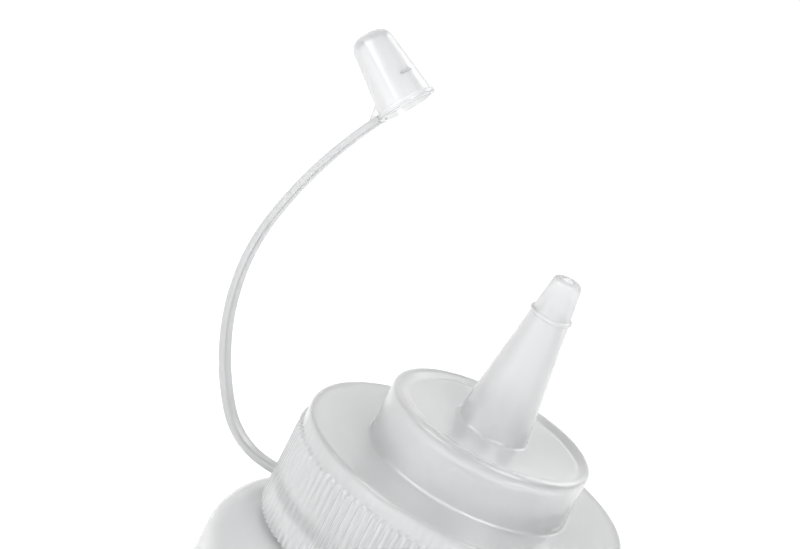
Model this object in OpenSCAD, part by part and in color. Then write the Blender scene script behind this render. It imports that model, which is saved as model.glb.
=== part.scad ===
// Squeeze dispensing bottle: blow moulded body, screw cap with drum and
// tapered nozzle, and a tip cap on a long flexible strap.
// Millimetres, +Z up, origin at the centre of the base, strap along -X.

/* [Bottle body] */
// Outside diameter of the body
body_d = 70; // [56:1:90]
// Outside diameter of the body just under the shoulder
body_top_d = 69; // [56:1:90]
// Height of the shoulder plane above the base
shoulder_h = 142.5; // [90:0.5:220]
// Rounding of the shoulder
shoulder_r = 8; // [3:0.5:12]
// Wall of the bottle
bottle_wall = 1.0; // [0.6:0.1:2]
// Rounding of the bottom corner
base_r = 4; // [2:0.5:8]
// Width of the ring that the bottle stands on
foot_w = 4; // [2:0.5:8]
// Height of the pushed-up middle of the base
push_up = 1.6; // [0.5:0.1:4]

/* [Bottle neck] */
// Outside diameter of the neck between the thread turns
neck_d = 50.6; // [40:0.2:60]
// Wall of the neck
neck_wall = 1.5; // [0.8:0.1:3]
// Length of the neck above the shoulder plane
neck_h = 16.9; // [12:0.1:24]
// How far the threads stand out
thread_depth = 1.2; // [0.6:0.1:2]
// Lead of the threads
thread_lead = 4.2; // [3:0.1:6]
// Turns of each thread
thread_turns = 1.25; // [1:0.05:2]
// Gap between the thread flanks
thread_gap = 0.5; // [0.3:0.05:0.8]
// Gap between the bottle thread and the bore of the cap
bore_gap = 0.4; // [0.2:0.05:0.8]

/* [Gasket] */
// Thickness of the sealing ring
gasket_t = 1.1; // [0.6:0.1:2]
// Width of the sealing ring
gasket_w = 4; // [2:0.1:6]
// Gap on each face of the sealing ring
gasket_gap = 0.05; // [0.02:0.01:0.1]

/* [Screw cap] */
// Wall of the skirt under the ribs
skirt_wall = 1.3; // [0.8:0.1:2.5]
// Height of the skirt
skirt_h = 18.4; // [14:0.1:24]
// Height of the smooth band above the ribs
band_h = 3.2; // [1.5:0.1:6]
// Rounding of the skirt's top edge
skirt_edge_r = 0.6; // [0.4:0.1:1.2]
// Number of grip ribs
rib_count = 120; // [60:1:160]
// How far the grip ribs stand out
rib_h = 0.4; // [0.2:0.05:0.8]
// How far the smooth band lies behind the grooves between the ribs
band_step = 0.15; // [0.1:0.05:0.3]
// Thickness of the flat ledge
ledge_t = 1.4; // [0.8:0.1:2.5]

/* [Drum] */
// Outside diameter of the drum
drum_d = 35.2; // [24:0.2:44]
// Height of the drum above the ledge
drum_h = 9.6; // [5:0.1:16]
// Wall of the drum
drum_wall = 1.3; // [0.8:0.1:2.5]
// Rounding of the drum's top edge
drum_edge_r = 0.9; // [0.4:0.1:2.4]
// Rounding at the foot of the drum
drum_foot_r = 0.6; // [0.2:0.1:1.5]
// Depth of the dished top
dish = 0.6; // [0:0.1:1.2]

/* [Nozzle] */
// Diameter of the nozzle at its base
nozzle_base_d = 12.3; // [9:0.1:18]
// Length of the nozzle above the drum
nozzle_h = 27.6; // [16:0.1:40]
// Diameter of the nozzle at its tip
tip_d = 5; // [4:0.1:8]
// Rounding of the nozzle's tip
tip_round = 0.9; // [0.3:0.1:0.9]
// Height of the snap ring above the drum
ring_h = 21.1; // [10:0.1:34]
// Diameter of the nozzle just under the snap ring
ring_seat_d = 6.7; // [5:0.1:10]
// How far the snap ring stands out
ring_out = 0.28; // [0.1:0.01:0.5]
// Thickness of the snap ring
ring_t = 0.8; // [0.4:0.1:1.6]
// Wall of the nozzle
nozzle_wall = 1.1; // [0.7:0.05:1.6]
// Diameter of the hole in the tip
orifice_d = 2.2; // [1:0.1:3]
// Length of the hole in the tip
orifice_l = 2; // [1:0.1:4]

/* [Tip cap] */
// Outside diameter at the open rim
cap_rim_d = 9.7; // [8:0.1:14]
// How far the rim's lip stands out
cap_lip = 0.25; // [0.1:0.05:0.8]
// Height of the rim's lip
cap_lip_h = 0.9; // [0.5:0.1:2]
// Outside diameter at the closed end
cap_end_d = 7.1; // [5:0.1:10]
// Length of the tip cap
cap_h = 13.5; // [11:0.1:20]
// Rounding of the closed end
cap_end_r = 2.4; // [0.5:0.1:2.4]
// Wall of the tip cap
cap_wall = 0.55; // [0.5:0.05:1.2]
// Thickness of the closed end
cap_end_t = 1.2; // [0.8:0.1:2]
// Length of the moulded nib on the side
nib_l = 2.6; // [1:0.1:5]
// Turn of the nib about the tip cap
nib_turn = 30; // [0:5:180]
// Height of the nib above the rim
nib_z = 4.8; // [2:0.1:10]

/* [Strap] */
// Thickness of the strap
strap_t = 1.3; // [0.8:0.1:2]
// Width of the strap
strap_w = 2.6; // [1.5:0.1:5]
// Straight start of the strap outside the skirt
strap_start = 3.3; // [2:0.05:8]
// Radius of the first bend
bend_1_r = 12.6; // [8:0.1:30]
// Angle of the first bend
bend_1_a = 50; // [30:1:80]
// Radius of the second bend
bend_2_r = 38.5; // [20:0.5:80]
// Angle of the second bend
bend_2_a = 52; // [20:1:80]
// Radius of the third bend
bend_3_r = 83; // [40:1:160]
// Angle of the third bend
bend_3_a = 18; // [5:1:40]
// Length of strap from the skirt to the first hinge line
hinge_1_at = 6.6; // [4:0.1:20]
// Length of strap from the skirt to the second hinge line
hinge_2_at = 57.6; // [40:0.1:66]
// Gap between the strap pieces at a hinge line
hinge_gap = 0.2; // [0.1:0.01:0.3]
// Thickness of the web at the end of the strap
web_t = 1; // [0.5:0.1:2]
// Height of the web on the tip cap
web_h = 1.8; // [1:0.1:6]
// Length of the web along the strap
web_l = 2.3; // [1:0.1:4]

/* [Hidden] */
$fn = 144;
soft_white = [0.86, 0.88, 0.88];
soft_grey = [0.72, 0.75, 0.76];
eps = 0.2;

body_r = body_d / 2;
body_top_r = body_top_d / 2;
neck_r = neck_d / 2;
thread_r = neck_r + thread_depth;
lip_h = shoulder_h + neck_h;
bore_r = thread_r + bore_gap;
skirt_r = bore_r + skirt_wall;
rib_r = skirt_r + rib_h;
band_r = skirt_r - band_step;
ledge_under = lip_h + gasket_t + 2 * gasket_gap;
ledge_h = ledge_under + ledge_t;
skirt_low = ledge_h - skirt_h;
drum_r = drum_d / 2;
drum_top = ledge_h + drum_h;
nozzle_r = nozzle_base_d / 2;
tip_r = tip_d / 2;
tip_h = drum_top + nozzle_h;
ring_z = drum_top + ring_h;
seat_r = ring_seat_d / 2;
cap_r = cap_rim_d / 2;
cap_end = cap_end_d / 2;
lip_r = cap_r + cap_lip;

// Flank widths that leave the thread gap between a bottle and a cap turn
thread_tip_w = 0.8;
thread_foot_w = 2.2;
thread_a = 18;
thread_from = 20.7;
thread_sink = 0.4;
thread_overlap = thread_depth - bore_gap;
thread_step = thread_tip_w + (thread_foot_w - thread_tip_w) * thread_overlap / thread_depth / 2 + thread_gap;
thread_low = shoulder_h + 5.5;

strap_low = skirt_low + strap_t / 2;
strap_from = rib_r;
bend_1_l = bend_1_r * bend_1_a * PI / 180;
bend_2_l = bend_2_r * bend_2_a * PI / 180;
bend_3_l = bend_3_r * bend_3_a * PI / 180;
strap_l = strap_start + bend_1_l + bend_2_l + bend_3_l;
strap_turn = bend_1_a + bend_2_a + bend_3_a;

// Points of an arc about [x, y]
function arc(x, y, r, from, to, steps = 8) =
    [for (i = [0:steps]) let (a = from + (to - from) * i / steps) [x + r * cos(a), y + r * sin(a)]];

// Place on an arc that starts at p with heading h, after length s
function on_bend(p, h, r, s) =
    let (a = s / r * 180 / PI)
    [p[0] + r * (sin(h + a) - sin(h)), p[1] - r * (cos(h + a) - cos(h))];

bend_1_at = [strap_from + strap_start, strap_low];
bend_2_at = on_bend(bend_1_at, 0, bend_1_r, bend_1_l);
bend_3_at = on_bend(bend_2_at, bend_1_a, bend_2_r, bend_2_l);
strap_end = on_bend(bend_3_at, bend_1_a + bend_2_a, bend_3_r, bend_3_l);

// Middle of the strap at length s from the skirt: distance from the axis, height
function strap_at(s) =
    s <= strap_start ? [strap_from + s, strap_low]
    : s <= strap_start + bend_1_l ? on_bend(bend_1_at, 0, bend_1_r, s - strap_start)
    : s <= strap_start + bend_1_l + bend_2_l
        ? on_bend(bend_2_at, bend_1_a, bend_2_r, s - strap_start - bend_1_l)
    : on_bend(bend_3_at, bend_1_a + bend_2_a, bend_3_r, s - strap_start - bend_1_l - bend_2_l);

// Heading of the strap at length s
function strap_heading(s) =
    s <= strap_start ? 0
    : s <= strap_start + bend_1_l ? (s - strap_start) / bend_1_r * 180 / PI
    : s <= strap_start + bend_1_l + bend_2_l
        ? bend_1_a + (s - strap_start - bend_1_l) / bend_2_r * 180 / PI
    : bend_1_a + bend_2_a + (s - strap_start - bend_1_l - bend_2_l) / bend_3_r * 180 / PI;

// One side of the strap, offset from its middle
function strap_side(s, off) =
    let (p = strap_at(s), h = strap_heading(s))
    [p[0] - off * sin(h), p[1] + off * cos(h)];

// Rim centre of the tip cap: distance from the axis, height
cap_at = [strap_end[0] + lip_r * cos(strap_turn) - strap_t / 2 * sin(strap_turn),
          strap_end[1] + lip_r * sin(strap_turn) + strap_t / 2 * cos(strap_turn)];

// Thread ridge in short level steps: the root lies at foot_r, the crest at crest_r
module thread(foot_r, crest_r, low) {
    steps = round(360 * thread_turns / thread_a);
    root_r = foot_r < crest_r ? foot_r - thread_sink : foot_r + thread_sink;
    tip_half = thread_tip_w / 2;
    root_half = tip_half + (thread_foot_w / 2 - tip_half) * (thread_depth + thread_sink) / thread_depth;
    for (i = [0:steps - 1])
        rotate([0, 0, thread_from + thread_a * i])
        translate([0, 0, low + thread_lead * thread_a * (i + 0.5) / 360])
        rotate_extrude(angle = thread_a + 0.5)
        polygon([[root_r, -root_half], [crest_r, -tip_half], [crest_r, tip_half], [root_r, root_half]]);
}

module bottle() {
    in_r = body_r - bottle_wall;
    foot_r = body_r - base_r;
    neck_in = neck_r - neck_wall;
    shoulder_x = body_top_r - shoulder_r;
    shoulder_z = shoulder_h - shoulder_r;
    shoulder_in = shoulder_r - bottle_wall;
    slope = push_up * 1.5;
    color(soft_white) {
        rotate_extrude()
        polygon(concat(
            [[0, push_up], [foot_r - foot_w - slope, push_up], [foot_r - foot_w, 0]],
            arc(foot_r, base_r, base_r, -90, 0),
            arc(shoulder_x, shoulder_z, shoulder_r, 0, 90),
            [[neck_r + 0.4, shoulder_h], [neck_r, shoulder_h + 0.4], [neck_r, lip_h - 0.4],
             [neck_r - 0.4, lip_h], [neck_in, lip_h], [neck_in, shoulder_h - bottle_wall]],
            [for (p = arc(shoulder_x, shoulder_z, shoulder_in, 90, 0)) if (p[0] > neck_in) p],
            arc(foot_r, base_r, base_r - bottle_wall, 0, -90),
            [[foot_r - foot_w, bottle_wall],
             [foot_r - foot_w - slope, push_up + bottle_wall], [0, push_up + bottle_wall]]));
        thread(neck_r, thread_r, thread_low);
    }
}

module cap_gasket() {
    gasket_out = neck_r + 1;
    color(soft_grey)
    translate([0, 0, lip_h + gasket_gap])
    rotate_extrude()
    translate([gasket_out - gasket_w, 0])
    square([gasket_w, gasket_t]);
}

module grip_ribs() {
    half = 180 / rib_count;
    translate([0, 0, skirt_low])
    linear_extrude(skirt_h - band_h)
    difference() {
        polygon([for (i = [0:rib_count - 1]) each
            [[rib_r * cos(2 * i * half - half / 3), rib_r * sin(2 * i * half - half / 3)],
             [rib_r * cos(2 * i * half + half / 3), rib_r * sin(2 * i * half + half / 3)],
             [skirt_r * cos((2 * i + 1) * half), skirt_r * sin((2 * i + 1) * half)]]]);
        circle(skirt_r - skirt_wall / 2);
    }
}

module cap_shell() {
    drum_in = drum_r - drum_wall;
    drum_under = drum_top - dish - drum_wall;
    ring_low = ring_z - ring_t / 2;
    channel_r = seat_r - nozzle_wall;
    rotate_extrude()
    polygon(concat(
        [[bore_r, skirt_low], [band_r, skirt_low]],
        arc(band_r - skirt_edge_r, ledge_h - skirt_edge_r, skirt_edge_r, 0, 90),
        arc(drum_r + drum_foot_r, ledge_h + drum_foot_r, drum_foot_r, -90, -180, 4),
        arc(drum_r - drum_edge_r, drum_top - drum_edge_r, drum_edge_r, 0, 90),
        [[drum_r - drum_edge_r - 2, drum_top - dish], [nozzle_r + 0.7, drum_top - dish],
         [nozzle_r + 0.2, drum_top - dish + 0.2], [nozzle_r, drum_top - dish + 0.7],
         [seat_r, ring_low], [seat_r + ring_out, ring_low + ring_t / 4],
         [seat_r + ring_out, ring_low + ring_t * 3 / 4], [seat_r - 0.1, ring_low + ring_t]],
        arc(tip_r - tip_round, tip_h - tip_round, tip_round, 10, 90, 6),
        [[orifice_d / 2, tip_h], [orifice_d / 2, tip_h - orifice_l],
         [channel_r, ring_low], [nozzle_r - nozzle_wall, drum_under + 0.6],
         [nozzle_r - nozzle_wall + 0.6, drum_under], [drum_in - 1, drum_under],
         [drum_in, drum_under - 1], [drum_in, ledge_under], [bore_r, ledge_under]]));
}

module screw_cap() {
    color(soft_white) {
        cap_shell();
        grip_ribs();
        thread(bore_r, bore_r - thread_depth, thread_low - thread_step);
        strap_run(-rib_h - skirt_wall / 2, hinge_1_at, round_a = false);
    }
}

// Strap from length a to length b, rounded at each end that meets a hinge line
module strap_run(a, b, round_a = true, round_b = true) {
    half = strap_t / 2;
    back = half + hinge_gap / 2;
    from = round_a ? a + back : a;
    to = round_b ? b - back : b;
    steps = ceil((to - from) / 1.5);
    rotate([90, 0, 180])
    translate([0, 0, -strap_w / 2])
    linear_extrude(strap_w)
    union() {
        polygon(concat(
            [for (i = [0:steps]) strap_side(from + (to - from) * i / steps, -half)],
            [for (i = [steps:-1:0]) strap_side(from + (to - from) * i / steps, half)]));
        if (round_a) {
            translate(strap_at(from))
            circle(half, $fn = 32);
        }
        if (round_b) {
            translate(strap_at(to))
            circle(half, $fn = 32);
        }
    }
}

module strap() {
    color(soft_white)
    strap_run(hinge_1_at, hinge_2_at);
}

// Hollow thimble about its own axis, rim at z = 0
module thimble() {
    in_end = cap_end - cap_wall + (cap_r - cap_end) * cap_end_t / cap_h;
    rotate_extrude()
    polygon(concat(
        [[cap_r - cap_wall, 0], [lip_r - 0.15, 0], [lip_r, 0.15], [lip_r, cap_lip_h - 0.15],
         [lip_r - 0.15, cap_lip_h], [cap_r - 0.1, cap_lip_h]],
        arc(cap_end - cap_end_r, cap_h - cap_end_r, cap_end_r, 5, 90),
        [[0, cap_h], [0, cap_h - cap_end_t], [in_end - 1, cap_h - cap_end_t],
         [in_end, cap_h - cap_end_t - 1]]));
}

module tip_cap() {
    color(soft_white) {
        strap_run(hinge_2_at, strap_l + cap_wall, round_b = false);
        translate([-cap_at[0], 0, cap_at[1]])
        rotate([0, strap_turn - 180, 0]) {
            thimble();
            // Web between the strap and the wall
            translate([0, web_t / 2, 0])
            rotate([90, 0, 0])
            linear_extrude(web_t)
            polygon([[-lip_r - web_l, strap_t - eps], [-cap_r + cap_wall / 2, strap_t - eps],
                     [-cap_r + cap_wall / 2, strap_t + web_h]]);
            // Moulded nib on the side
            rotate([0, 0, -nib_turn])
            translate([cap_r - (cap_r - cap_end) * nib_z / cap_h - 0.15, -nib_l / 2, nib_z])
            rotate([-90, 0, 0])
            cylinder(h = nib_l, r = 0.35, $fn = 24);
        }
    }
}

bottle();
cap_gasket();
screw_cap();
strap();
tip_cap();
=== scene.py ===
import bpy, bmesh
from math import sin, cos, pi, radians, degrees, atan2, hypot
from mathutils import Matrix, Vector


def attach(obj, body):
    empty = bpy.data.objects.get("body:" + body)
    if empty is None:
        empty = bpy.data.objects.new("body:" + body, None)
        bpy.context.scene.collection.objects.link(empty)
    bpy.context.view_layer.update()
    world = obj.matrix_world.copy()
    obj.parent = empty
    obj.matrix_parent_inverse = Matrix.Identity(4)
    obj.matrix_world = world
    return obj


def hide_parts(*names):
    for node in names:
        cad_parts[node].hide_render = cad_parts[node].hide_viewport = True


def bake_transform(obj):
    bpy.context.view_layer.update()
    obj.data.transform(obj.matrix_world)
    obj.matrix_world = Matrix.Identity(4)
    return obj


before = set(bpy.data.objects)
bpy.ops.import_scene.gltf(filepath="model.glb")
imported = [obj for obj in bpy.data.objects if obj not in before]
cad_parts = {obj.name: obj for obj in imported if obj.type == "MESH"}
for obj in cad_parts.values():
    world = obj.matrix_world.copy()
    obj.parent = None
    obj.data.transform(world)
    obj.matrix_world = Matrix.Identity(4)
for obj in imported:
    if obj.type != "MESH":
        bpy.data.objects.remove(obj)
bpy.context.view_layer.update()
mm = 0.001  # the pieces are written in millimetres, and the scene is in metres


# Small helpers

def arcPoints(x, z, radius, start, end, steps=8):
    # points of an arc about x, z in millimetres, angles in degrees
    angles = [radians(start + (end - start) * i / steps) for i in range(steps + 1)]
    return [(x + radius * cos(angle), z + radius * sin(angle)) for angle in angles]


def addMesh(name, bm, material, body=None, sharpAngle=40):
    mesh = bpy.data.meshes.new(name)
    bm.to_mesh(mesh)
    bm.free()
    mesh.shade_smooth()
    mesh.set_sharp_from_angle(angle=radians(sharpAngle))
    piece = bpy.data.objects.new(name, mesh)
    bpy.context.scene.collection.objects.link(piece)
    mesh.materials.append(material)
    if body:
        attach(piece, body)
    return piece


def spunOutline(bm, outline, steps, closed=True):
    # turns an outline of (radius, height) in millimetres about the Z axis
    verts = [bm.verts.new((radius * mm, 0, height * mm)) for radius, height in outline]
    edges = [bm.edges.new((a, b)) for a, b in zip(verts, verts[1:])]
    if closed:
        edges.append(bm.edges.new((verts[-1], verts[0])))
    bmesh.ops.spin(bm, geom=verts + edges, cent=(0, 0, 0), axis=(0, 0, 1), angle=2 * pi,
                   steps=steps, use_merge=True)
    bmesh.ops.remove_doubles(bm, verts=bm.verts, dist=1e-7)
    bmesh.ops.recalc_face_normals(bm, faces=bm.faces)


def scaleOut(vert, factor):
    # moves a point straight away from the bottle's axis
    vert.co.x *= factor
    vert.co.y *= factor


def spunThread(bm, thread, wallRadius, crestRadius, low):
    # a smooth helical ridge, sunk a little into its wall and thinned out at both ends
    rise = thread["lead"] * thread["turns"]
    outline = [(wallRadius, -thread["footWidth"] / 2), (crestRadius, -thread["crestWidth"] / 2),
               (crestRadius, thread["crestWidth"] / 2), (wallRadius, thread["footWidth"] / 2)]
    start = radians(thread["startAngle"])
    verts = [bm.verts.new((r * mm * cos(start), r * mm * sin(start), (low + h) * mm)) for r, h in outline]
    face = bm.faces.new(verts)
    bmesh.ops.spin(bm, geom=[face], cent=(0, 0, 0), axis=(0, 0, 1), angle=2 * pi * thread["turns"],
                   steps=thread["steps"], dvec=(0, 0, rise * mm / thread["steps"]))
    for vert in bm.verts:
        radius = hypot(vert.co.x, vert.co.y)
        along = (vert.co.z / mm - low) / rise
        fade = max(0.0, min(1.0, along * thread["fadeRate"], (1 - along) * thread["fadeRate"]))
        wanted = wallRadius * mm + (radius - wallRadius * mm) * fade
        scaleOut(vert, wanted / radius)
    bmesh.ops.recalc_face_normals(bm, faces=bm.faces)


def joinInto(bm, other):
    # moves the geometry of another bmesh into this one
    spare = bpy.data.meshes.new("spare")
    other.to_mesh(spare)
    other.free()
    bm.from_mesh(spare)
    bpy.data.meshes.remove(spare)


# Materials

def addNoise(nodes, links, place, scale, detail):
    noise = nodes.new("ShaderNodeTexNoise")
    noise.inputs["Scale"].default_value = scale
    noise.inputs["Detail"].default_value = detail
    links.new(place.outputs["Object"], noise.inputs["Vector"])
    return noise.outputs["Fac"]


def plasticMaterial(look):
    material = bpy.data.materials.new(look["name"])
    material.use_nodes = True
    nodes, links = material.node_tree.nodes, material.node_tree.links
    shader = nodes["Principled BSDF"]
    shader.inputs["Base Color"].default_value = (*look["color"], 1)
    shader.inputs["Transmission Weight"].default_value = look["clearness"]
    shader.inputs["IOR"].default_value = look["ior"]
    shader.inputs["Coat Weight"].default_value = look["coat"]
    shader.inputs["Coat Roughness"].default_value = look["coatRoughness"]
    place = nodes.new("ShaderNodeTexCoord")
    # faint flow clouds in the moulding change the roughness
    clouds = addNoise(nodes, links, place, look["cloudScale"], 3)
    spread = nodes.new("ShaderNodeMapRange")
    spread.inputs["To Min"].default_value = look["roughness"] - look["roughSpread"]
    spread.inputs["To Max"].default_value = look["roughness"] + look["roughSpread"]
    links.new(clouds, spread.inputs["Value"])
    links.new(spread.outputs["Result"], shader.inputs["Roughness"])
    # the fine skin of the mould
    skin = addNoise(nodes, links, place, look["skinScale"], 2)
    bump = nodes.new("ShaderNodeBump")
    bump.inputs["Strength"].default_value = look["skinStrength"]
    bump.inputs["Distance"].default_value = 0.1 * mm
    links.new(skin, bump.inputs["Height"])
    links.new(bump.outputs["Normal"], shader.inputs["Normal"])
    return material


bottlePlastic = plasticMaterial({
    "name": "bottlePlastic", "color": (0.96, 0.965, 0.97), "clearness": 0.72, "ior": 1.5,
    "coat": 0.6, "coatRoughness": 0.14,
    "roughness": 0.36, "roughSpread": 0.05, "cloudScale": 60, "skinScale": 900, "skinStrength": 0.1})
capPlastic = plasticMaterial({
    "name": "capPlastic", "color": (0.96, 0.965, 0.97), "clearness": 0.72, "ior": 1.5,
    "coat": 0.7, "coatRoughness": 0.1,
    "roughness": 0.3, "roughSpread": 0.05, "cloudScale": 90, "skinScale": 1100, "skinStrength": 0.08})
# the thin strap is the cap's plastic painted a little greyer, a painted shade for its darker look, so that it
# stands out from the white
strapShadedPlastic = plasticMaterial({
    "name": "strapShadedPlastic", "color": (0.68, 0.685, 0.69), "clearness": 0.45, "ior": 1.5,
    "coat": 0.5, "coatRoughness": 0.12,
    "roughness": 0.34, "roughSpread": 0.05, "cloudScale": 90, "skinScale": 1100, "skinStrength": 0.08})
gasketFoam = plasticMaterial({
    "name": "gasketFoam", "color": (0.9, 0.9, 0.89), "clearness": 0.0, "ior": 1.45,
    "coat": 0.0, "coatRoughness": 0.3,
    "roughness": 0.7, "roughSpread": 0.08, "cloudScale": 300, "skinScale": 2500, "skinStrength": 0.5})
print("materials made")


# Bottle

bottle = {
    "bodyRadius": 35, "topRadius": 34.5, "shoulderHeight": 142.5, "shoulderRadius": 8, "wall": 1.0,
    "sideBands": 24, "baseRadius": 4, "footWidth": 4, "pushUp": 1.6, "pushUpSlope": 1.5,
    "neckRadius": 25.3, "neckWall": 1.5, "neckHeight": 16.9, "neckFoot": 0.6, "lipOut": 0.4, "lipIn": 0.3,
    "steps": 160}
# the cap's thread is the same ridge turned inwards, capStep lower
thread = {
    "lead": 4.2, "turns": 1.25, "footWidth": 2.2, "crestWidth": 0.8, "depth": 1.2, "sink": 0.15,
    "startAngle": 20.7, "low": 148.0, "capStep": 1.767, "steps": 110, "fadeRate": 12}


def makeBottle(b):
    lip = b["shoulderHeight"] + b["neckHeight"]
    foot = b["bodyRadius"] - b["baseRadius"]
    footIn = foot - b["footWidth"]
    slope = b["pushUp"] * b["pushUpSlope"]
    shoulderX = b["topRadius"] - b["shoulderRadius"]
    shoulderZ = b["shoulderHeight"] - b["shoulderRadius"]
    neckIn = b["neckRadius"] - b["neckWall"]
    outside = [(0, b["pushUp"]), (footIn - slope, b["pushUp"]), (footIn, 0)]
    outside += arcPoints(foot, b["baseRadius"], b["baseRadius"], -90, 0, 10)
    # the side in bands, so that long faces stay even
    for i in range(1, b["sideBands"]):
        t = i / b["sideBands"]
        outside.append((b["bodyRadius"] + (b["topRadius"] - b["bodyRadius"]) * t,
                        b["baseRadius"] + (shoulderZ - b["baseRadius"]) * t))
    outside += arcPoints(shoulderX, shoulderZ, b["shoulderRadius"], 0, 90, 20)
    outside += arcPoints(b["neckRadius"] + b["neckFoot"], b["shoulderHeight"] + b["neckFoot"], b["neckFoot"],
                         -90, -180, 5)
    outside += arcPoints(b["neckRadius"] - b["lipOut"], lip - b["lipOut"], b["lipOut"], 0, 90, 5)
    inside = arcPoints(neckIn + b["lipIn"], lip - b["lipIn"], b["lipIn"], 90, 180, 4)
    shoulder = arcPoints(shoulderX, shoulderZ, b["shoulderRadius"] - b["wall"], 90, 0, 20)
    inside += [point for point in shoulder if point[0] > neckIn]
    inside += arcPoints(foot, b["baseRadius"], b["baseRadius"] - b["wall"], 0, -90, 10)
    inside += [(footIn, b["wall"]), (footIn - slope, b["pushUp"] + b["wall"]), (0, b["pushUp"] + b["wall"])]
    bm = bmesh.new()
    spunOutline(bm, outside + inside, b["steps"], closed=False)
    ridge = bmesh.new()
    spunThread(ridge, thread, b["neckRadius"] - thread["sink"], b["neckRadius"] + thread["depth"],
               thread["low"])
    joinInto(bm, ridge)
    piece = addMesh("bottleShell", bm, bottlePlastic, "bottle")
    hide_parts("bottle")


makeBottle(bottle)
print("bottle made")


# Screw cap

# dishSteps are (way in from the drum's edge, share of the dish's depth)
cap = {
    "ledge": 162.0, "ledgeUnder": 160.6, "skirtLow": 143.6, "boreRadius": 26.9, "bandRadius": 28.05,
    "bandHeight": 3.2, "edgeRadius": 0.6,
    "grooveRadius": 28.2, "ribRadius": 28.6, "ribs": 120, "ribPoints": 4, "ribStart": 0.3, "ribRunOut": 0.5,
    "drumRadius": 17.6, "drumHeight": 9.6, "drumWall": 1.3, "drumEdge": 0.9, "drumFoot": 0.6,
    "drumCorner": 1, "dish": 0.6, "dishSteps": [(0.8, 0.25), (1.6, 0.8), (2.4, 1.0)],
    "nozzleBase": 6.15, "nozzleFoot": 0.7, "nozzleHeight": 27.6, "nozzleWall": 1.1, "nozzleInFoot": 0.6,
    "tipRadius": 2.5, "tipRound": 0.9, "orifice": 1.1, "orificeLength": 2.0, "orificeEdge": 0.1,
    "seatRadius": 3.35, "ringHeight": 21.1, "ringOut": 0.28, "ringThick": 0.8, "ringFlat": (0.25, 0.75),
    "ringBack": 0.1}


def makeCap(c):
    drumTop = c["ledge"] + c["drumHeight"]
    drumUnder = drumTop - c["dish"] - c["drumWall"]
    drumOut = c["drumRadius"] - c["drumEdge"]
    drumIn = c["drumRadius"] - c["drumWall"]
    ribTop = c["ledge"] - c["bandHeight"]
    # skirt and ledge
    outline = [(c["boreRadius"], c["skirtLow"]), (c["grooveRadius"], c["skirtLow"]),
               (c["grooveRadius"], c["skirtLow"] + c["ribStart"]),
               (c["grooveRadius"], ribTop - c["ribRunOut"]), (c["bandRadius"], ribTop)]
    outline += arcPoints(c["bandRadius"] - c["edgeRadius"], c["ledge"] - c["edgeRadius"], c["edgeRadius"],
                         0, 90, 8)
    # drum with its dished top
    outline += arcPoints(c["drumRadius"] + c["drumFoot"], c["ledge"] + c["drumFoot"], c["drumFoot"],
                         -90, -180, 5)
    outline += arcPoints(drumOut, drumTop - c["drumEdge"], c["drumEdge"], 0, 90, 10)
    outline += [(drumOut - way, drumTop - c["dish"] * share) for way, share in c["dishSteps"]]
    # nozzle with its snap ring and hole
    deck = drumTop - c["dish"]
    tip = drumTop + c["nozzleHeight"]
    ringLow = drumTop + c["ringHeight"] - c["ringThick"] / 2
    outline += arcPoints(c["nozzleBase"] + c["nozzleFoot"], deck + c["nozzleFoot"], c["nozzleFoot"],
                         -90, -175, 6)
    outline += [(c["seatRadius"], ringLow)]
    outline += [(c["seatRadius"] + c["ringOut"], ringLow + c["ringThick"] * share) for share in c["ringFlat"]]
    outline += [(c["seatRadius"] - c["ringBack"], ringLow + c["ringThick"])]
    outline += arcPoints(c["tipRadius"] - c["tipRound"], tip - c["tipRound"], c["tipRound"], 8, 90, 8)
    outline += [(c["orifice"] + c["orificeEdge"], tip), (c["orifice"], tip - c["orificeEdge"]),
                (c["orifice"], tip - c["orificeLength"]), (c["seatRadius"] - c["nozzleWall"], ringLow)]
    # inside of the nozzle, the drum and the ledge
    channelLow = c["nozzleBase"] - c["nozzleWall"]
    outline += [(channelLow, drumUnder + c["nozzleInFoot"]), (channelLow + c["nozzleInFoot"], drumUnder)]
    outline += arcPoints(drumIn - c["drumCorner"], drumUnder - c["drumCorner"], c["drumCorner"], 90, 0, 5)
    outline += [(drumIn, c["ledgeUnder"]), (c["boreRadius"], c["ledgeUnder"])]
    bm = bmesh.new()
    spunOutline(bm, outline, c["ribs"] * c["ribPoints"])
    # half of the points round the groove stand out as grip ribs
    for vert in bm.verts:
        onGroove = abs(hypot(vert.co.x, vert.co.y) / mm - c["grooveRadius"]) < 0.02
        if onGroove and vert.co.z / mm < ribTop - c["ribRunOut"] / 2:
            step = round(degrees(atan2(vert.co.y, vert.co.x)) * c["ribs"] * c["ribPoints"] / 360)
            if step % c["ribPoints"] < c["ribPoints"] / 2:
                scaleOut(vert, c["ribRadius"] / c["grooveRadius"])
    ridge = bmesh.new()
    spunThread(ridge, thread, c["boreRadius"] + thread["sink"], c["boreRadius"] - thread["depth"],
               thread["low"] - thread["capStep"])
    joinInto(bm, ridge)
    piece = addMesh("screwCap", bm, capPlastic, "screw_cap", sharpAngle=32)
    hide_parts("screw_cap")


makeCap(cap)
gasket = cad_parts["cap_gasket"]
gasket.data.materials.clear()
gasket.data.materials.append(gasketFoam)
print("screw cap made")


# Strap

# bends are (radius, degrees) one after the other, capOffset goes from the strap's end to the tip cap's axis
strap = {
    "thick": 1.3, "width": 2.6, "edge": 0.3, "cornerPoints": 4, "ringStep": 0.5,
    "start": 3.3, "low": 144.25, "skirt": 28.6, "bends": [(12.6, 50), (38.5, 52), (83, 18)],
    "middle": 32, "endPast": 0.6, "capOffset": 5.1}
strapLength = strap["start"] + sum(r * radians(a) for r, a in strap["bends"])


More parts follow.
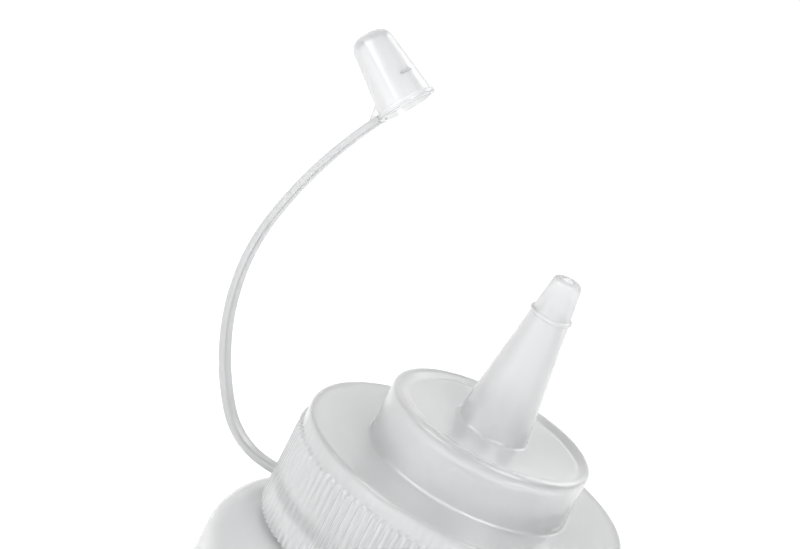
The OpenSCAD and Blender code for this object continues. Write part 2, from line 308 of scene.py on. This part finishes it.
def strapPoint(s):
    # distance from the bottle's axis, height and heading of the strap's middle at length s
    x, z, turn = strap["skirt"], strap["low"], 0.0
    if s <= strap["start"]:
        return x + s, z, turn
    x, s = x + strap["start"], s - strap["start"]
    for radius, angle in strap["bends"]:
        part = min(radians(angle), s / radius)
        x += radius * (sin(turn + part) - sin(turn))
        z -= radius * (cos(turn + part) - cos(turn))
        turn += part
        s -= radius * part
        if s < 1e-6:
            break
    return x, z, turn


def strapRing(bm, s):
    # one rounded cross-section of the strap as a loop of edges
    x, z, turn = strapPoint(s)
    radius, count = strap["edge"], strap["cornerPoints"]
    halfThick, halfWide = strap["thick"] / 2 - radius, strap["width"] / 2 - radius
    loop = []
    for off, side, start in ((halfThick, halfWide, 0), (-halfThick, halfWide, 90),
                             (-halfThick, -halfWide, 180), (halfThick, -halfWide, 270)):
        loop += arcPoints(off, side, radius, start, start + 90, count - 1)
    verts = [bm.verts.new((-(x - off * sin(turn)) * mm, side * mm, (z + off * cos(turn)) * mm))
             for off, side in loop]
    return [bm.edges.new((verts[i - 1], verts[i])) for i in range(len(verts))]


def strapStretch(stretch):
    # a stretch of strap, swept in rounded rings along its bends
    low, high = stretch["from"], stretch["to"]
    bm = bmesh.new()
    steps = round((high - low) / strap["ringStep"])
    first = last = strapRing(bm, low)
    for i in range(1, steps + 1):
        ring = strapRing(bm, low + (high - low) * i / steps)
        bmesh.ops.bridge_loops(bm, edges=last + ring)
        last = ring
    # the two stretches meet open in the middle, so only the outer end is closed
    bmesh.ops.edgeloop_fill(bm, edges=first if high == strap["middle"] else last)
    bmesh.ops.recalc_face_normals(bm, faces=bm.faces)
    piece = addMesh(stretch["name"], bm, strapShadedPlastic, sharpAngle=60)
    ends = [strapPoint(stretch["hinge"] + side * stretch["reach"]) for side in (-1, 1)]
    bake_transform(piece)
    return piece


strapStretch({"name": "strapFoot", "from": -1.0, "to": strap["middle"], "hinge": 6.6,
              "reach": 5.5, "bodies": ("screw_cap", "strap")})
strapHead = strapStretch({"name": "strapHead", "from": strap["middle"], "to": strapLength + strap["endPast"],
                          "hinge": 57.6, "reach": 12, "bodies": ("strap", "tip_cap")})
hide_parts("strap")
print("strap made")


# Tip cap

tipCap = {
    "rimRadius": 4.85, "lip": 0.25, "lipHeight": 0.9, "lipEdge": 0.2, "rimStep": 0.1, "endRadius": 3.55,
    "length": 13.5, "endRound": 2.4, "wall": 0.55, "endWall": 1.2, "inRound": 1.2, "steps": 96,
    "webThick": 1.0, "webHeight": 1.8, "webLength": 2.3, "webSink": 0.2, "webEdge": 0.15,
    "nibLength": 2.6, "nibRadius": 0.3, "nibTurn": 30, "nibHeight": 4.8, "nibSink": 0.15}


def makeWeb(t):
    # triangular web between the strap's end and the wall
    bm = bmesh.new()
    foot, wallMiddle = strap["thick"] - t["webSink"], -t["rimRadius"] + t["wall"] / 2
    corners = [(-t["rimRadius"] - t["lip"] - t["webLength"], foot), (wallMiddle, foot),
               (wallMiddle, strap["thick"] + t["webHeight"])]
    face = bm.faces.new([bm.verts.new((x * mm, -t["webThick"] / 2 * mm, z * mm)) for x, z in corners])
    grown = bmesh.ops.extrude_face_region(bm, geom=[face])
    bmesh.ops.translate(bm, vec=(0, t["webThick"] * mm, 0),
                        verts=[v for v in grown["geom"] if isinstance(v, bmesh.types.BMVert)])
    bmesh.ops.bevel(bm, geom=bm.edges[:], offset=t["webEdge"] * mm, segments=2, profile=0.5,
                    affect="EDGES", material=-1)
    bmesh.ops.recalc_face_normals(bm, faces=bm.faces)
    return bm


def makeNib(t):
    # moulded nib that lies round the side
    bm = bmesh.new()
    bmesh.ops.create_uvsphere(bm, u_segments=16, v_segments=10, radius=t["nibRadius"] * mm)
    bmesh.ops.scale(bm, vec=(1, t["nibLength"] / t["nibRadius"] / 2, 1), verts=bm.verts)
    wallRadius = t["rimRadius"] + (t["endRadius"] - t["rimRadius"]) * t["nibHeight"] / t["length"]
    bmesh.ops.transform(bm, matrix=Matrix.Rotation(-radians(t["nibTurn"]), 4, "Z")
                        @ Matrix.Translation(((wallRadius - t["nibSink"]) * mm, 0, t["nibHeight"] * mm)),
                        verts=bm.verts)
    return bm


def makeTipCap(t):
    lipOut = t["rimRadius"] + t["lip"] - t["lipEdge"]
    inEnd = t["endRadius"] - t["wall"] + (t["rimRadius"] - t["endRadius"]) * t["endWall"] / t["length"]
    outline = [(t["rimRadius"] - t["wall"], 0)]
    outline += arcPoints(lipOut, t["lipEdge"], t["lipEdge"], -90, 0, 3)
    outline += arcPoints(lipOut, t["lipHeight"] - t["lipEdge"], t["lipEdge"], 0, 90, 3)
    outline += [(t["rimRadius"] - t["rimStep"], t["lipHeight"])]
    outline += arcPoints(t["endRadius"] - t["endRound"], t["length"] - t["endRound"], t["endRound"],
                         6, 90, 10)
    outline += [(0, t["length"]), (0, t["length"] - t["endWall"])]
    outline += arcPoints(inEnd - t["inRound"], t["length"] - t["endWall"] - t["inRound"], t["inRound"],
                         90, 5, 6)
    bm = bmesh.new()
    spunOutline(bm, outline, t["steps"])
    joinInto(bm, makeWeb(t))
    joinInto(bm, makeNib(t))
    # stand the cap on the end of the strap
    x, z, turn = strapPoint(strapLength)
    rimX = x + strap["capOffset"] * cos(turn) - strap["thick"] / 2 * sin(turn)
    rimZ = z + strap["capOffset"] * sin(turn) + strap["thick"] / 2 * cos(turn)
    bmesh.ops.transform(bm, matrix=Matrix.Translation((-rimX * mm, 0, rimZ * mm))
                        @ Matrix.Rotation(turn - pi, 4, "Y"), verts=bm.verts)
    piece = addMesh("tipCap", bm, capPlastic, "tip_cap")
    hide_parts("tip_cap")


makeTipCap(tipCap)
print("tip cap made")


# Stage, light and camera

def largerOf(nodes, links, first, second):
    larger = nodes.new("ShaderNodeMath")
    larger.operation = "MAXIMUM"
    links.new(first, larger.inputs[0])
    links.new(second, larger.inputs[1])
    return larger.outputs["Value"]


def seenDirectly(nodes, links):
    # 1 for rays from the camera, from gloss and through clear plastic, else 0
    rays = nodes.new("ShaderNodeLightPath")
    either = largerOf(nodes, links, rays.outputs["Is Camera Ray"], rays.outputs["Is Glossy Ray"])
    return largerOf(nodes, links, either, rays.outputs["Is Transmission Ray"])


stage = {"halfSize": 1.5, "color": (0.9, 0.9, 0.9), "roughness": 0.9, "glow": 0.22}


def makeStage(s):
    bm = bmesh.new()
    bmesh.ops.create_grid(bm, x_segments=1, y_segments=1, size=s["halfSize"])
    mesh = bpy.data.meshes.new("floor")
    bm.to_mesh(mesh)
    bm.free()
    floor = bpy.data.objects.new("floor", mesh)
    bpy.context.scene.collection.objects.link(floor)
    paint = bpy.data.materials.new("floorPaint")
    paint.use_nodes = True
    nodes, links = paint.node_tree.nodes, paint.node_tree.links
    shader = nodes["Principled BSDF"]
    shader.inputs["Base Color"].default_value = (*s["color"], 1)
    shader.inputs["Roughness"].default_value = s["roughness"]
    # a little glow lifts the pale floor to white and leaves its shadow
    glow = nodes.new("ShaderNodeMath")
    glow.operation = "MULTIPLY"
    glow.inputs[1].default_value = s["glow"]
    links.new(seenDirectly(nodes, links), glow.inputs[0])
    shader.inputs["Emission Color"].default_value = (1, 1, 1, 1)
    links.new(glow.outputs["Value"], shader.inputs["Emission Strength"])
    floor.data.materials.append(paint)


# strength goes from dim to full as a direction turns towards backSide, between the two backEdges
world = {"fill": 0.68, "backSide": (-0.2, 0.95, -0.2), "backEdges": (0.2, 0.85), "dim": 0.24, "full": 1.0}


def makeWorld(w):
    # white for the camera and behind the bottle, dimmer all round it for gloss and refraction
    studio = bpy.data.worlds.new("studio")
    bpy.context.scene.world = studio
    studio.use_nodes = True
    nodes, links = studio.node_tree.nodes, studio.node_tree.links
    fill = nodes["Background"]
    fill.inputs["Color"].default_value = (1, 1, 1, 1)
    fill.inputs["Strength"].default_value = w["fill"]
    back = nodes.new("ShaderNodeBackground")
    back.inputs["Color"].default_value = (1, 1, 1, 1)
    place = nodes.new("ShaderNodeTexCoord")
    behind = nodes.new("ShaderNodeVectorMath")
    behind.operation = "DOT_PRODUCT"
    behind.inputs[1].default_value = w["backSide"]
    links.new(place.outputs["Generated"], behind.inputs[0])
    spread = nodes.new("ShaderNodeMapRange")
    spread.inputs["From Min"].default_value = w["backEdges"][0]
    spread.inputs["From Max"].default_value = w["backEdges"][1]
    spread.inputs["To Min"].default_value = w["dim"]
    spread.inputs["To Max"].default_value = w["full"]
    links.new(behind.outputs["Value"], spread.inputs["Value"])
    rays = nodes.new("ShaderNodeLightPath")
    strength = largerOf(nodes, links, spread.outputs["Result"], rays.outputs["Is Camera Ray"])
    links.new(strength, back.inputs["Strength"])
    mix = nodes.new("ShaderNodeMixShader")
    links.new(seenDirectly(nodes, links), mix.inputs["Fac"])
    links.new(fill.outputs["Background"], mix.inputs[1])
    links.new(back.outputs["Background"], mix.inputs[2])
    links.new(mix.outputs["Shader"], nodes["World Output"].inputs["Surface"])


light = {
    "aim": (0, 0, 0.15),
    "lamps": [
        {"name": "keyLamp", "place": (-0.8, -1.05, 0.75), "size": 0.9, "power": 10},
        {"name": "sideLamp", "place": (0.9, -0.7, 1.1), "size": 0.8, "power": 11},
        {"name": "backLamp", "place": (0.3, 1.2, 1.2), "size": 0.9, "power": 5}]}


def addLamp(lamp, aim):
    panel = bpy.data.lights.new(lamp["name"], "AREA")
    panel.size = lamp["size"]
    panel.energy = lamp["power"]
    lampObject = bpy.data.objects.new(lamp["name"], panel)
    bpy.context.scene.collection.objects.link(lampObject)
    lampObject.location = lamp["place"]
    lampObject.rotation_euler = (Vector(aim) - Vector(lamp["place"])).to_track_quat("-Z", "Y").to_euler()


makeStage(stage)
makeWorld(world)
for lamp in light["lamps"]:
    addLamp(lamp, light["aim"])
print("stage and light made")


# ledgePixel is where the middle of the cap's ledge falls in the 800 x 549 picture
view = {
    "distance": 0.6, "elevation": 20.33, "azimuth": 14.4, "roll": 27.69, "focal": 3678.8,
    "ledgeHeight": 0.162, "ledgePixel": (467.8, 474.25), "size": (800, 549), "sensorWidth": 36}


def makeCamera(v):
    turn, rise, roll = radians(v["azimuth"]), radians(v["elevation"]), radians(v["roll"])
    toCamera = Vector((sin(turn) * cos(rise), -cos(turn) * cos(rise), sin(rise)))
    side = Vector((cos(turn), sin(turn), 0))
    above = toCamera.cross(side)
    # tip the picture clockwise, then swing it so that the ledge falls on its pixel
    tipped = [side * cos(roll) + above * sin(roll), above * cos(roll) - side * sin(roll), -toCamera]
    ray = Vector(((v["ledgePixel"][0] - v["size"][0] / 2) / v["focal"],
                  -(v["ledgePixel"][1] - v["size"][1] / 2) / v["focal"], 1)).normalized()
    swing = Vector((0, 0, 1)).rotation_difference(ray).to_matrix()
    right, up, ahead = [sum((tipped[j] * row[j] for j in range(3)), Vector()) for row in swing]
    lens = bpy.data.cameras.new("camera")
    lens.sensor_width = v["sensorWidth"]
    lens.sensor_fit = "HORIZONTAL"
    lens.lens = v["focal"] / v["size"][0] * lens.sensor_width
    camera = bpy.data.objects.new("camera", lens)
    bpy.context.scene.collection.objects.link(camera)
    place = Vector((0, 0, v["ledgeHeight"])) + toCamera * v["distance"]
    pose = Matrix((right, up, -ahead)).transposed().to_4x4()
    camera.matrix_world = Matrix.Translation(place) @ pose
    bpy.context.scene.camera = camera


makeCamera(view)
bpy.context.scene.view_settings.view_transform = "Standard"
print("camera made")
